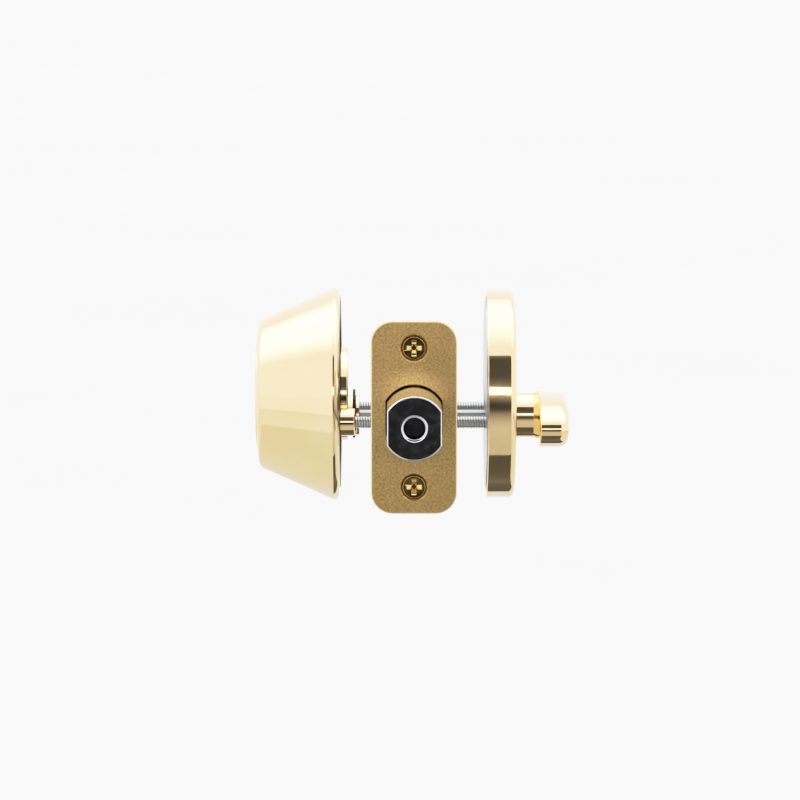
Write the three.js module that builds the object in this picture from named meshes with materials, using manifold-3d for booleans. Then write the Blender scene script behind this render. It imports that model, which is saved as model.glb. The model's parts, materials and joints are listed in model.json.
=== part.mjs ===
// Single-cylinder deadbolt lock for a 44.45 mm door, in millimetres.
// The origin is on the face of the door's edge, at the bolt's centreline, midway through the thickness.
// +X points into the room, -X outdoors, +Y into the door and +Z up.
// At rest the bolt is thrown and the thumbturn lies level, pointing towards the door's edge.
import * as THREE from "three";
import { mergeVertices } from "three/addons/utils/BufferGeometryUtils.js";
import Module from "manifold-3d";

const wasm = await Module();
wasm.setup();

// The door and the bores that the lock fits.
const doorThickness = 44.45;
const backset = 60.3;
const throwLength = 25.4;
const spindleDrop = 6.7; // the spindle's axis is this far below the bolt's centreline
const screwReach = 17.5; // each mounting screw stands this far from the spindle's axis

// Fits.
const seat = 0.05; // between two pieces that rest on each other
const running = 0.15; // radial, between two pieces that turn or slide
const drilled = 0.25; // radial, round a fastener

// Exterior collar and what it covers; depths run outwards from the door's exterior face.
const collarGap = 0.2; // between the rim and the door
const collarBaseRadius = 32.8;
const collarFrontRadius = 22.5; // where the cone would meet the front face
const collarDepth = 25.4;
const collarRimDepth = 2.2;
const collarWall = 1.9; // of the front face
const coneWall = 2.1; // of the cone, measured across the axis
const collarBoreRadius = 16.8;
const collarRounding = { rim: 1.9, base: 0.4, front: 2.6, bore: 0.4 };
const guardRing = { inner: 24.6, sleeve: 26.2, flange: 29.0, flangeThickness: 1.5, height: 10 };
const barrelRadius = 14.4;
const barrelEnd = -2.3; // the barrel reaches this far into the door
const faceFlange = { radius: 16.5, back: 23.4, front: 26.05, edge: 0.7 };
const lug = { radius: 4.2, front: 16.5, back: -4.5, boreEnd: 14.5, webHalfHeight: 2.6 };

// Plug and pin tumblers, measured from the spindle's axis.
const plugRadius = 6.3;
const plugShoulder = { radius: 7.2, thickness: 1.4, edge: 0.3 };
const plugEnd = -5.8;
const plugGroove = { reach: 1.2, width: 1, depth: 0.9 }; // for the clip that holds the plug
const keywayEnd = 1.2;
const socketEnd = -1.2; // the tailpiece's disc turns in this socket
const chamberFloor = -2.2;
const pinRadius = 1.42;
const pinPitch = 3.81;
const firstPin = 6.3; // from the cylinder's face to the first pin
const pinLengths = [5.2, 6.4, 5.8, 7.0, 6.1];
const driverLength = 4.8;
const driverGap = 0.05; // above the plug's bore
const pinDrop = 0.25; // from the plug's surface to a pin's top, while there is no key
const pinTip = { radius: 0.5, length: 1 };
const chamberCap = { length: 20.5, width: 4.0, thickness: 1.3, recess: 0.4 };
const spring = { radius: 1.05, wire: 0.34, turns: 4 };

// Bolt assembly.
const faceplate = { width: 25.4, height: 57.15, thickness: 2.2, corner: 6.35, screwSpacing: 41.3 };
const countersink = { mouth: 4.25, neck: 2.3 };
const woodScrew = { head: 3.35, face: 0.2, cone: 0.6, neck: 2.1, shank: 2.0, taper: 15, tip: 0.3, end: 20.5 };
const backing = { width: 24.4, height: 56.2, thickness: 1.6, corner: 5.9 };
const boltRadius = 9.4;
const boltHalfFlat = 7.95;
const boltLength = 36;
const boltChamfer = 0.45;
const boltOpening = { radius: boltRadius + 0.3, halfFlat: boltHalfFlat + 0.35 };
const boltHole = { radius: 3.2, mouth: 4.1, chamfer: 0.55, depth: 27 };
const sawPin = { radius: 3.0, recess: 3.2, length: 23 };
const tube = { radius: 11.1, bore: 9.75, end: 37.5, wall: 1.2, flange: 12.6 };
const tab = { halfWidth: 2.4, bottom: -8.6, top: -7.2, play: 0.2 }; // joins the tube to the case
const casing = { halfWidth: 5.8, wall: 1.2, halfHeight: 11.2, front: 37.55, back: 83.6, corner: 5 };
const drawbar = { halfThickness: 1.5, bottom: 0.4, top: 7, corner: 1, prongTop: 11, prong: 3, slotFloor: 3.2 };
const drawbarOverlap = 7.6; // the part of the bar that lies in the bolt's slot
const windowPlay = { side: 0.7, height: 0.6 }; // round the bar, where it passes through the tube and the case
const rivets = { front: [50, -8.8], rear: [70.6, -8.8], upper: [81.1, 7.2] };
const rivet = { radius: 1.2, head: 2.1, headTop: 1.7, headHeight: 0.6 };
const crank = { hub: 6.5, pin: 2.0, armInner: 1.9, armThickness: 2.2, hubHalfLength: 7.4, tip: 2.7 };
const forkPlay = 0.75; // the crank pin's play in the fork on each side

// Interior side; heights run inwards from the door's interior face.
const rose = { radius: 32.1, height: 9.3, edge: 2, wall: 1.4, gap: 0.3, rim: 0.3, spindlePlay: 0.25 };
const mountingPlate = { radius: 29.0, thickness: 1.7, spindleHole: 8.6, boss: 4.0, bossHeight: 3.8 };
const mountingScrew = { shank: 2.1, point: 1.6, head: 4.0, headTop: 2.6, side: 1, headHeight: 2.5, edge: 0.5 };
const coverScrewReach = 23.5;
const coverScrew = { start: 0.8, shank: 2.0, point: 1.7, head: 3.8, coneHeight: 1.7, side: 0.2, sunk: 0.1 };
const coverSink = { mouth: 4.2, neck: 2.3, depth: 1.9 };
const neckRadius = 6.9;
const neck = { start: 3.4, slim: 0.3, lead: 0.5, groove: 1.2 }; // slim: how much thinner its inner end is
const blade = { width: 6.4, thickness: 2.4, button: 4.0, end: 9 };

// The thumbturn's grip is an ellipse with its middle ahead of the spindle's axis and its tip a little low.
const grip = { back: 16.2, front: 26.2, edge: 1.6, halfLength: 19.65, halfWidth: 7.85, lead: 6.5, droop: 3.9 };

const exteriorFace = -doorThickness / 2;
const interiorFace = doorThickness / 2;
const crankRadius = throwLength / 2 / Math.sin(Math.PI / 4);
const forkCentre = backset - throwLength / 2;

const finishes = {
  polishedBrass: { color: 0xe0bf7d, roughness: 0.12, metalness: 1 },
  satinBrass: { color: 0xb79a63, roughness: 0.42, metalness: 1 },
  plainBrass: { color: 0xc8a45a, roughness: 0.3, metalness: 1 },
  chrome: { color: 0xd4d6da, roughness: 0.1, metalness: 1 },
  zincPlate: { color: 0xb9bcc0, roughness: 0.4, metalness: 1 },
  hardSteel: { color: 0x8d8f94, roughness: 0.3, metalness: 1 },
};
const materials = Object.fromEntries(
  Object.entries(finishes).map(([name, look]) => [name, new THREE.MeshStandardMaterial({ name, ...look })]),
);

// An outline whose corners [x, y, radius] are rounded by arcs; a corner with no radius stays sharp.
function rounded(corners, steps = 3) {
  return corners.flatMap(([x, y, radius = 0], i) => {
    const corner = new THREE.Vector2(x, y);
    if (!radius) return [corner];
    const towards = (other) => new THREE.Vector2(other[0], other[1]).sub(corner).normalize();
    const before = towards(corners.at(i - 1));
    const after = towards(corners[(i + 1) % corners.length]);
    const half = Math.acos(before.dot(after)) / 2;
    const start = corner.clone().addScaledVector(before, radius / Math.tan(half));
    const end = corner.clone().addScaledVector(after, radius / Math.tan(half));
    const inwards = before.clone().add(after).normalize();
    const centre = corner.clone().addScaledVector(inwards, radius / Math.sin(half));
    const from = start.clone().sub(centre).angle();
    const turn = end.clone().sub(centre).angle() - from;
    const sweep = Math.atan2(Math.sin(turn), Math.cos(turn));
    return Array.from({ length: steps + 1 }, (_, k) => {
      const angle = from + (sweep * k) / steps;
      return centre.clone().add(new THREE.Vector2(Math.cos(angle), Math.sin(angle)).multiplyScalar(radius));
    });
  });
}

// Points along an arc about (x, y).
function arc(x, y, radius, from, to, steps) {
  return Array.from({ length: steps + 1 }, (_, k) => {
    const angle = from + ((to - from) * k) / steps;
    return new THREE.Vector2(x + radius * Math.cos(angle), y + radius * Math.sin(angle));
  });
}

function circle(x, y, radius, segments = 20) {
  return arc(x, y, radius, 0, 2 * Math.PI, segments).slice(0, -1);
}

function rectangle(width, height, corner = 0) {
  const x = width / 2;
  const y = height / 2;
  return rounded([[-x, -y, corner], [x, -y, corner], [x, y, corner], [-x, y, corner]]);
}

// A circle with two flats at x = -flat and x = flat.
function doubleD(radius, flat, steps = 8) {
  const a = Math.acos(flat / radius);
  const upper = arc(0, 0, radius, a, Math.PI - a, steps);
  const lower = arc(0, 0, radius, Math.PI + a, 2 * Math.PI - a, steps);
  return [...upper, ...lower];
}

// The outline of two circles on the x axis and the lines that touch both.
function taperedOval(wideX, wide, narrowX, narrow, steps = 10) {
  const lean = Math.asin((wide - narrow) / (narrowX - wideX));
  const touch = Math.PI / 2 - lean;
  return [
    ...arc(narrowX, 0, narrow, -touch, touch, steps),
    ...arc(wideX, 0, wide, touch, 2 * Math.PI - touch, steps + 4),
  ];
}

const X = new THREE.Vector3(1, 0, 0);
const Y = new THREE.Vector3(0, 1, 0);
const Z = new THREE.Vector3(0, 0, 1);

// A solid of revolution about X, Y or Z from corners [radius, place along the axis, rounding].
function turned(corners, axis, segments = 32, steps = 2) {
  const profile = rounded(corners, steps);
  const open = profile[0].x === 0 && profile.at(-1).x === 0;
  if (!open) profile.push(profile[0].clone());
  const geometry = new THREE.LatheGeometry(profile, segments);
  if (axis === X) geometry.rotateZ(-Math.PI / 2);
  if (axis === Z) geometry.rotateX(Math.PI / 2);
  return geometry;
}

function rod(radius, low, high, axis, segments = 20) {
  return turned([[0, low], [radius, low], [radius, high], [0, high]], axis, segments);
}

// A flat piece between two places along X or Y; its outline is in (Y, Z) or (X, Z).
function plate(outline, holes, axis, low, high, bevel = 0) {
  const shape = new THREE.Shape(outline);
  shape.holes = holes.map((points) => new THREE.Path(points));
  const bevels = { bevelThickness: bevel, bevelSize: bevel, bevelOffset: -bevel, bevelSegments: 2 };
  const depth = high - low - 2 * bevel;
  const geometry = new THREE.ExtrudeGeometry(shape, { depth, bevelEnabled: bevel > 0, ...bevels });
  const basis = new THREE.Matrix4();
  if (axis === X) basis.makeBasis(Y, Z, X).setPosition(low + bevel, 0, 0);
  else basis.makeBasis(X, Z, Y.clone().negate()).setPosition(0, high - bevel, 0);
  return geometry.applyMatrix4(basis);
}

function block(low, high) {
  const size = high.map((v, i) => v - low[i]);
  return new THREE.BoxGeometry(...size).translate(...low.map((v, i) => v + size[i] / 2));
}

// One closed mesh with shared vertices, no collapsed triangles and its faces pointing outwards.
function welded(geometry) {
  const bare = geometry.clone();
  for (const name of Object.keys(bare.attributes)) if (name !== "position") bare.deleteAttribute(name);
  const merged = mergeVertices(bare, 1e-4);
  const corner = (i) => new THREE.Vector3().fromBufferAttribute(merged.attributes.position, i);
  const index = merged.index.array;
  const kept = [];
  let volume = 0;
  for (let i = 0; i < index.length; i += 3) {
    const [a, b, c] = index.slice(i, i + 3);
    if (a === b || b === c || c === a) continue;
    kept.push(a, b, c);
    volume += corner(a).dot(corner(b).cross(corner(c)));
  }
  return merged.setIndex(volume < 0 ? kept.reverse() : kept);
}

function solid(geometry) {
  const mesh = welded(geometry);
  const vertProperties = new Float32Array(mesh.attributes.position.array);
  const triVerts = new Uint32Array(mesh.index.array);
  return new wasm.Manifold(new wasm.Mesh({ numProp: 3, vertProperties, triVerts }));
}

// The first shape, joined with the shapes to add and then cut by the shapes to remove.
function shaped(first, { add = [], remove = [] }) {
  let result = solid(first);
  for (const geometry of add) result = result.add(solid(geometry));
  for (const geometry of remove) result = result.subtract(solid(geometry));
  const mesh = result.getMesh();
  const geometry = new THREE.BufferGeometry();
  geometry.setAttribute("position", new THREE.BufferAttribute(new Float32Array(mesh.vertProperties), 3));
  geometry.setIndex(new THREE.BufferAttribute(new Uint32Array(mesh.triVerts), 1));
  return geometry;
}

function piece(group, name, geometry, material) {
  const closed = welded(geometry);
  closed.computeVertexNormals();
  const mesh = new THREE.Mesh(closed, material);
  mesh.name = name;
  group.add(mesh);
  return mesh;
}

// A cross recess, cut into a screw head whose face is at the given place along the axis.
const recess = { reach: 2.0, halfWidth: 0.45, depth: 1.6 };
function crossRecess(axis, face, inwards) {
  const floor = face + inwards * recess.depth;
  const low = Math.min(face, floor);
  const high = Math.max(face, floor);
  const along = (a, b) => block([low, -a, -b], [high, a, b]);
  const across = (a, b) => block([-a, low, -b], [a, high, b]);
  const bar = axis === X ? along : across;
  return [bar(recess.reach, recess.halfWidth), bar(recess.halfWidth, recess.reach)];
}

// A clip cut from flat stock: a ring about X with a gap that faces down.
function clipRing(inner, outer, opening, low, high) {
  const from = -Math.PI / 2 + opening;
  const to = 1.5 * Math.PI - opening;
  const steps = 21;
  const outline = [...arc(0, 0, outer, from, to, steps), ...arc(0, 0, inner, to, from, steps)];
  return plate(outline, [], X, low, high);
}

const sides = [-1, 1];
const lock = new THREE.Group();
const crossBore = new THREE.Group(); // pieces about the door's cross bore
crossBore.position.set(0, backset, 0);
const spindle = new THREE.Group(); // pieces about the spindle's axis
spindle.position.set(0, backset, -spindleDrop);
lock.add(crossBore, spindle);

// A place outwards from the exterior face of the door, or inwards from its interior face.
const outside = (depth) => exteriorFace - depth;
const inside = (height) => interiorFace + height;

function exteriorCollar() {
  const slope = (collarBaseRadius - collarFrontRadius) / (collarDepth - collarRimDepth);
  const inner = (depth) => collarBaseRadius - slope * (depth - collarRimDepth) - coneWall;
  const innerFront = collarDepth - collarWall;
  const corners = [
    [inner(collarRimDepth), outside(collarGap)],
    [collarBaseRadius, outside(collarGap), collarRounding.rim],
    [collarBaseRadius, outside(collarRimDepth), collarRounding.base],
    [collarFrontRadius, outside(collarDepth), collarRounding.front],
    [collarBoreRadius, outside(collarDepth), collarRounding.bore],
    [collarBoreRadius, outside(innerFront)],
    [inner(innerFront), outside(innerFront)],
    [inner(collarRimDepth), outside(collarRimDepth)],
  ];
  piece(crossBore, "exterior_collar", turned(corners, X, 36), materials.polishedBrass);
}

function guardRingPiece() {
  const { inner, sleeve, flange, flangeThickness, height } = guardRing;
  const corners = [
    [inner, outside(0)],
    [flange, outside(0)],
    [flange, outside(flangeThickness)],
    [sleeve, outside(flangeThickness)],
    [sleeve, outside(height)],
    [inner, outside(height)],
  ];
  piece(crossBore, "guard_ring", turned(corners, X, 28), materials.hardSteel);
}

const pinPlaces = pinLengths.map((_, i) => outside(faceFlange.front - firstPin - i * pinPitch));
const chamberRadius = pinRadius + running;
const barrelTop = barrelRadius + spindleDrop; // above the spindle's axis
const capBottom = barrelTop - chamberCap.thickness - chamberCap.recess;
const capMiddle = (pinPlaces[0] + pinPlaces.at(-1)) / 2;

// The cylinder's body is made about the spindle's axis, so the barrel is raised by the drop.
function cylinderBody() {
  const { radius, back, front, edge } = faceFlange;
  const barrel = [
    [0, outside(barrelEnd)],
    [barrelRadius, outside(barrelEnd)],
    [barrelRadius, outside(back)],
    [radius, outside(back)],
    [radius, outside(front), edge],
    [0, outside(front)],
  ];
  const ends = sides.map((side) => side * screwReach);
  const post = (y) => rod(lug.radius, outside(lug.front), outside(lug.back), X, 16).translate(0, y, 0);
  const webEnd = outside(lug.back + 3);
  const { webHalfHeight } = lug;
  const web = (y) =>
    block([outside(lug.front), Math.min(0, y), -webHalfHeight], [webEnd, Math.max(0, y), webHalfHeight]);
  const tapRadius = mountingScrew.shank + drilled;
  const tapped = (y) => rod(tapRadius, outside(lug.boreEnd), outside(lug.back - 1), X, 12).translate(0, y, 0);
  const plugBore = rod(plugRadius + running, outside(front + 1), outside(barrelEnd - 3), X, 24);
  const shoulder = plugShoulder.radius + running;
  const shoulderSeat = outside(front - plugShoulder.thickness - 2 * seat);
  const counterbore = rod(shoulder, outside(front + 1), shoulderSeat, X, 24);
  const chambers = pinPlaces.map((x) => rod(chamberRadius, 0, barrelTop + 1, Z, 10).translate(x, 0, 0));
  const halfLength = chamberCap.length / 2 + seat;
  const halfWidth = chamberCap.width / 2 + seat;
  const capSlot = block(
    [capMiddle - halfLength, -halfWidth, capBottom - seat],
    [capMiddle + halfLength, halfWidth, barrelTop + 1],
  );
  const geometry = shaped(turned(barrel, X, 28).translate(0, 0, spindleDrop), {
    add: ends.flatMap((y) => [post(y), web(y)]),
    remove: [plugBore, counterbore, capSlot, ...chambers, ...ends.map(tapped)],
  });
  piece(spindle, "cylinder_body", geometry, materials.plainBrass);
}

function chamberCapPiece() {
  const { length, width, thickness } = chamberCap;
  const low = [capMiddle - length / 2, -width / 2, capBottom];
  const high = [capMiddle + length / 2, width / 2, capBottom + thickness];
  piece(spindle, "pin_chamber_cap", block(low, high), materials.plainBrass);
}

// The keyway's outline about the plug's axis: a tall slot with a ward on each side.
const keyway = [
  [-1.0, -5.2], [1.0, -5.2], [1.0, -3.4], [1.7, -2.9], [1.7, -1.7], [1.0, -1.2],
  [1.0, 2.8], [-0.4, 2.8], [-0.4, 1.0], [-1.0, 0.5],
].map(([y, z]) => new THREE.Vector2(y, z));

function cylinderPlug() {
  const { radius, thickness, edge } = plugShoulder;
  const front = faceFlange.front + 2 * seat;
  const groove = plugEnd + plugGroove.reach;
  const grooveFloor = plugRadius - plugGroove.depth;
  const corners = [
    [0, outside(plugEnd)],
    [plugRadius, outside(plugEnd)],
    [plugRadius, outside(groove)],
    [grooveFloor, outside(groove)],
    [grooveFloor, outside(groove + plugGroove.width)],
    [plugRadius, outside(groove + plugGroove.width)],
    [plugRadius, outside(front - thickness)],
    [radius, outside(front - thickness)],
    [radius, outside(front), edge],
    [0, outside(front)],
  ];
  const keySlot = plate(keyway, [], X, outside(front + 1), outside(keywayEnd));
  const chamber = (x) => rod(chamberRadius, chamberFloor, plugRadius + 1, Z, 10).translate(x, 0, 0);
  const chambers = pinPlaces.map(chamber);
  const socket = rod(blade.button + running, outside(socketEnd), outside(plugEnd - 1), X, 24);
  const geometry = shaped(turned(corners, X, 24), { remove: [keySlot, socket, ...chambers] });
  piece(spindle, "cylinder_plug", geometry, materials.plainBrass);

  const play = 0.1;
  const clipLow = outside(groove + plugGroove.width - play);
  const clipHigh = outside(groove + play);
  const clip = clipRing(grooveFloor + running, plugRadius + 1.7, Math.PI / 5, clipLow, clipHigh);
  piece(spindle, "plug_clip", clip, materials.hardSteel);
}

// A compression spring that stands on Z, with a wire of four sides.
function coil(bottom, top) {
  const { radius, turns } = spring;
  class Helix extends THREE.Curve {
    getPoint(t, target = new THREE.Vector3()) {
      const angle = 2 * Math.PI * turns * t;
      return target.set(radius * Math.cos(angle), radius * Math.sin(angle), bottom + (top - bottom) * t);
    }
  }
  const wire = new THREE.Shape(circle(0, 0, spring.wire / 2, 4));
  const stepsPerTurn = 6;
  const extrudePath = new Helix();
  return new THREE.ExtrudeGeometry(wire, { steps: turns * stepsPerTurn, extrudePath, bevelEnabled: false });
}

function pinStacks() {
  const driverBottom = plugRadius + running + driverGap;
  pinLengths.forEach((length, i) => {
    const top = plugRadius - pinDrop;
    const pin = [
      [0, top - length],
      [pinTip.radius, top - length],
      [pinRadius, top - length + pinTip.length],
      [pinRadius, top],
      [0, top],
    ];
    const bottomPin = piece(spindle, `bottom_pin_${i + 1}`, turned(pin, Z, 10), materials.plainBrass);
    const driverRod = rod(pinRadius, driverBottom, driverBottom + driverLength, Z, 10);
    const driver = piece(spindle, `driver_pin_${i + 1}`, driverRod, materials.plainBrass);
    const half = spring.wire / 2 + seat;
    const wound = coil(driverBottom + driverLength + half, capBottom - half);
    const pusher = piece(spindle, `driver_spring_${i + 1}`, wound, materials.hardSteel);
    for (const mesh of [bottomPin, driver, pusher]) mesh.position.x = pinPlaces[i];
  });
}

// A flat bar that carries the turn of the key and the thumbturn through the crank.
function tailpiece() {
  const { width, thickness, button, end } = blade;
  const discEnds = [outside(socketEnd - 0.2), outside(plugEnd - 0.3)];
  const disc = rod(button, ...discEnds, X, 20);
  const bar = block([outside(plugEnd), -width / 2, -thickness / 2], [inside(end), width / 2, thickness / 2]);
  piece(spindle, "tailpiece", shaped(disc, { add: [bar] }), materials.zincPlate);
}

function bladeSlot(low, high) {
  const y = blade.width / 2 + running;
  const z = blade.thickness / 2 + running;
  return block([low, -y, -z], [high, y, z]);
}

const screwHoles = sides.map((side) => side * (faceplate.screwSpacing / 2));

function faceplates() {
  const opening = doubleD(boltOpening.radius, boltOpening.halfFlat);
  const { width, height, thickness, corner } = faceplate;
  const blank = plate(rectangle(width, height, corner), [opening], Y, 0, thickness);
  const { mouth, neck: narrow } = countersink;
  const past = 0.5; // how far the cutting cone runs past each face
  const lean = ((mouth - narrow) / thickness) * past;
  const sinkCorners = [
    [0, -past],
    [mouth + lean, -past],
    [narrow, thickness],
    [narrow, thickness + past],
    [0, thickness + past],
  ];
  const sinks = screwHoles.map((z) => turned(sinkCorners, Y, 24).translate(0, 0, z));
  piece(lock, "faceplate", shaped(blank, { remove: sinks }), materials.satinBrass);

  const drilledHoles = screwHoles.map((z) => circle(0, z, woodScrew.shank + drilled, 16));
  const outline = rectangle(backing.width, backing.height, backing.corner);
  const back = thickness + seat;
  const backBlank = plate(outline, [opening, ...drilledHoles], Y, back, back + backing.thickness);
  piece(lock, "backing_plate", backBlank, materials.zincPlate);
}

function faceplateScrews() {
  const { head, face, cone, neck: narrow, shank, taper, tip, end } = woodScrew;
  const corners = [
    [0, face],
    [head, face],
    [head, cone],
    [shank, narrow],
    [shank, taper],
    [tip, end],
    [0, end],
  ];
  ["lower", "upper"].forEach((place, i) => {
    const screw = shaped(turned(corners, Y, 16), { remove: crossRecess(Y, face, 1) });
    piece(lock, `faceplate_screw_${place}`, screw, materials.plainBrass).position.z = screwHoles[i];
  });
}

const boltBack = boltLength - throwLength;
const crossPin = { y: boltBack - 4.2, z: 3.7, radius: 1.5, play: 0.1, inset: 0.3 };

function boltPieces() {
  const tip = -throwLength;
  const bar = plate(doubleD(boltRadius, boltHalfFlat), [], Y, tip, boltBack, boltChamfer);
  const { radius, mouth, chamfer, depth } = boltHole;
  const past = 1;
  const lean = ((mouth - radius) / chamfer) * past;
  const holeCorners = [
    [0, tip - past],
    [mouth + lean, tip - past],
    [radius, tip + chamfer],
    [radius, tip + depth],
    [0, tip + depth],
  ];
  const hole = turned(holeCorners, Y, 24);
  const slotHalf = drawbar.halfThickness + drilled;
  const slotStart = boltBack - drawbarOverlap - 0.2;
  const beyond = boltRadius + past;
  const tailSlot = block([-slotHalf, slotStart, -beyond], [slotHalf, boltBack + past, beyond]);
  const pinHole = rod(crossPin.radius + crossPin.play, -boltRadius, boltRadius, X, 12);
  pinHole.translate(0, crossPin.y, crossPin.z);
  piece(lock, "bolt", shaped(bar, { remove: [hole, tailSlot, pinHole] }), materials.chrome);

  const sawPinStart = tip + sawPin.recess;
  const roller = rod(sawPin.radius, sawPinStart, sawPinStart + sawPin.length, Y, 24);
  piece(lock, "saw_pin", roller, materials.hardSteel);
  const pinReach = boltHalfFlat - crossPin.inset;
  const pin = rod(crossPin.radius, -pinReach, pinReach, X, 12);
  piece(lock, "tail_cross_pin", pin.translate(0, crossPin.y, crossPin.z), materials.hardSteel);
}

// The flat bar behind the bolt, with an upright fork for the crank's pin.
function boltTail() {
  const slot = crank.pin + forkPlay;
  const { halfThickness, bottom, top, prongTop, prong, slotFloor, corner } = drawbar;
  const start = boltBack - drawbarOverlap;
  const outline = rounded([
    [start, bottom],
    [forkCentre + slot + prong, bottom, corner],
    [forkCentre + slot + prong, prongTop, corner],
    [forkCentre + slot, prongTop],
    [forkCentre + slot, slotFloor, corner],
    [forkCentre - slot, slotFloor, corner],
    [forkCentre - slot, prongTop],
    [forkCentre - slot - prong, prongTop, corner],
    [forkCentre - slot - prong, top, corner],
    [start, top],
  ]);
  const hole = circle(crossPin.y, crossPin.z, crossPin.radius + crossPin.play, 12);
  piece(lock, "bolt_tail", plate(outline, [hole], X, -halfThickness, halfThickness), materials.zincPlate);
}

// The window that the bar passes through, between two places along Y.
function barWindow(low, high, top) {
  const side = drawbar.halfThickness + windowPlay.side;
  return block([-side, low, drawbar.bottom - windowPlay.height], [side, high, top]);
}

function boltTube() {
  const front = faceplate.thickness + backing.thickness + 2 * seat;
  const { radius, bore, end, wall, flange } = tube;
  const corners = [
    [bore, front],
    [flange, front],
    [flange, front + wall],
    [radius, front + wall],
    [radius, end],
    [0, end],
    [0, end - wall],
    [bore, end - wall],
  ];
  const { halfWidth, bottom, top } = tab;
  const tongue = block([-halfWidth, end - wall / 2, bottom], [halfWidth, end + casing.wall, top]);
  const window = barWindow(end - 3, end + 3, drawbar.top + windowPlay.height);
  const rolled = turned(corners, Y, 24);
  piece(lock, "bolt_tube", shaped(rolled, { add: [tongue], remove: [window] }), materials.zincPlate);
}

// Each half of the case is a pressed tray; the top is open for the crank's arms and the fork.
function caseHalves() {
  const { halfWidth, wall, halfHeight, front, back, corner } = casing;
  const outline = rounded([
    [front, -halfHeight], [back, -halfHeight, corner], [back, halfHeight, corner], [front, halfHeight],
  ]);
  const hollow = rounded([
    [front + wall, -halfHeight + wall], [back - wall, -halfHeight + wall, corner - wall],
    [back - wall, halfHeight + 2], [front + wall, halfHeight + 2],
  ]);
  const hubHole = circle(backset, -spindleDrop, crank.hub + running, 24);
  const screwHoleRadius = mountingScrew.shank + 0.8;
  const screwPlaces = sides.map((side) => backset + side * screwReach);
  const mountingHoles = screwPlaces.map((y) => circle(y, -spindleDrop, screwHoleRadius, 16));
  const rivetHoles = Object.values(rivets).map(([y, z]) => circle(y, z, rivet.radius + 0.1, 10));
  const parting = 0.1; // from the middle plane to each tray's edge
  for (const [side, name] of [[-1, "case_exterior_half"], [1, "case_interior_half"]]) {
    const span = (near, far) => [side * near, side * far].sort((a, b) => a - b);
    const tray = plate(outline, [], X, ...span(parting, halfWidth));
    const inner = plate(hollow, [], X, ...span(-1, halfWidth - wall));
    const through = span(-1, halfWidth + 1);
    const holes = [hubHole, ...mountingHoles, ...rivetHoles].map((hole) => plate(hole, [], X, ...through));
    const tabSide = tab.halfWidth + tab.play;
    const tabLow = [-tabSide, front - 1, tab.bottom - tab.play];
    const tabHigh = [tabSide, front + 3, tab.top + tab.play];
    const tabSlot = block(tabLow, tabHigh);
    const window = barWindow(front - 1, front + 3, halfHeight + 2);
    const geometry = shaped(tray, { remove: [inner, tabSlot, window, ...holes] });
    piece(lock, name, geometry, materials.zincPlate);
  }
}

function caseRivets() {
  const headStart = casing.halfWidth + seat;
  const headEnd = headStart + rivet.headHeight;
  const half = [
    [rivet.radius, headStart],
    [rivet.head, headStart],
    [rivet.headTop, headEnd],
    [0, headEnd],
  ];
  const mirrored = half.map(([radius, x]) => [radius, -x]).reverse();
  for (const [place, [y, z]] of Object.entries(rivets)) {
    const headed = turned([...mirrored, ...half], X, 10).translate(0, y, z);
    piece(lock, `case_rivet_${place}`, headed, materials.zincPlate);
  }
}

// The crank's two arms hold a pin in the bolt tail's fork; at rest they lean 45 degrees towards the edge.
function crankPiece() {
  const { hub, pin, armInner, armThickness, hubHalfLength, tip } = crank;
  const armOutline = taperedOval(0, hub - 0.4, crankRadius, tip, 6);
  const arm = (low) => plate(armOutline, [], X, low, low + armThickness);
  const outer = armInner + armThickness;
  const crankPin = rod(pin, -outer, outer, X, 16).translate(0, crankRadius, 0);
  const hubRod = rod(hub, -hubHalfLength, hubHalfLength, X, 24);
  const swung = (geometry) => geometry.rotateX((3 * Math.PI) / 4);
  const geometry = shaped(hubRod, {
    add: [arm(armInner), arm(-outer), crankPin].map(swung),
    remove: [bladeSlot(-hubHalfLength - 1, hubHalfLength + 1)],
  });
  piece(spindle, "crank", geometry, materials.zincPlate);
}

const coverScrews = sides.map((side) => side * coverScrewReach);

function mountingPlatePiece() {
  const { radius, thickness, spindleHole, boss, bossHeight } = mountingPlate;
  const holes = [
    circle(0, -spindleDrop, spindleHole, 20),
    ...sides.map((side) => circle(side * screwReach, -spindleDrop, mountingScrew.shank + drilled, 16)),
  ];
  const disc = plate(circle(0, 0, radius, 32), holes, X, inside(0), inside(thickness));
  const bossTop = thickness + bossHeight;
  const bosses = coverScrews.map((y) => rod(boss, inside(0), inside(bossTop), X, 16).translate(0, y, 0));
  const tapRadius = coverScrew.shank + drilled;
  const tap = (y) => rod(tapRadius, inside(-1), inside(bossTop + 1), X, 16).translate(0, y, 0);
  const taps = coverScrews.map(tap);
  piece(crossBore, "mounting_plate", shaped(disc, { add: bosses, remove: taps }), materials.zincPlate);
}

function interiorRose() {
  const { radius, height, edge, wall, gap, rim, spindlePlay } = rose;
  const corners = [
    [radius - wall, inside(gap)],
    [radius, inside(gap), rim],
    [radius, inside(height), edge],
    [0, inside(height)],
    [0, inside(height - wall)],
    [radius - wall, inside(height - wall), 1],
  ];
  const spindleHole = rod(neckRadius + spindlePlay, inside(0), inside(height + 1), X, 24);
  spindleHole.translate(0, 0, -spindleDrop);
  const sinkCorners = [
    [0, inside(0)],
    [coverSink.neck, inside(0)],
    [coverSink.neck, inside(height - coverSink.depth)],
    [coverSink.mouth, inside(height)],
    [coverSink.mouth, inside(height + 1)],
    [0, inside(height + 1)],
  ];
  const sinks = coverScrews.map((y) => turned(sinkCorners, X, 20).translate(0, y, 0));
  const geometry = shaped(turned(corners, X, 36), { remove: [spindleHole, ...sinks] });
  piece(crossBore, "interior_rose", geometry, materials.polishedBrass);
}

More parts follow.
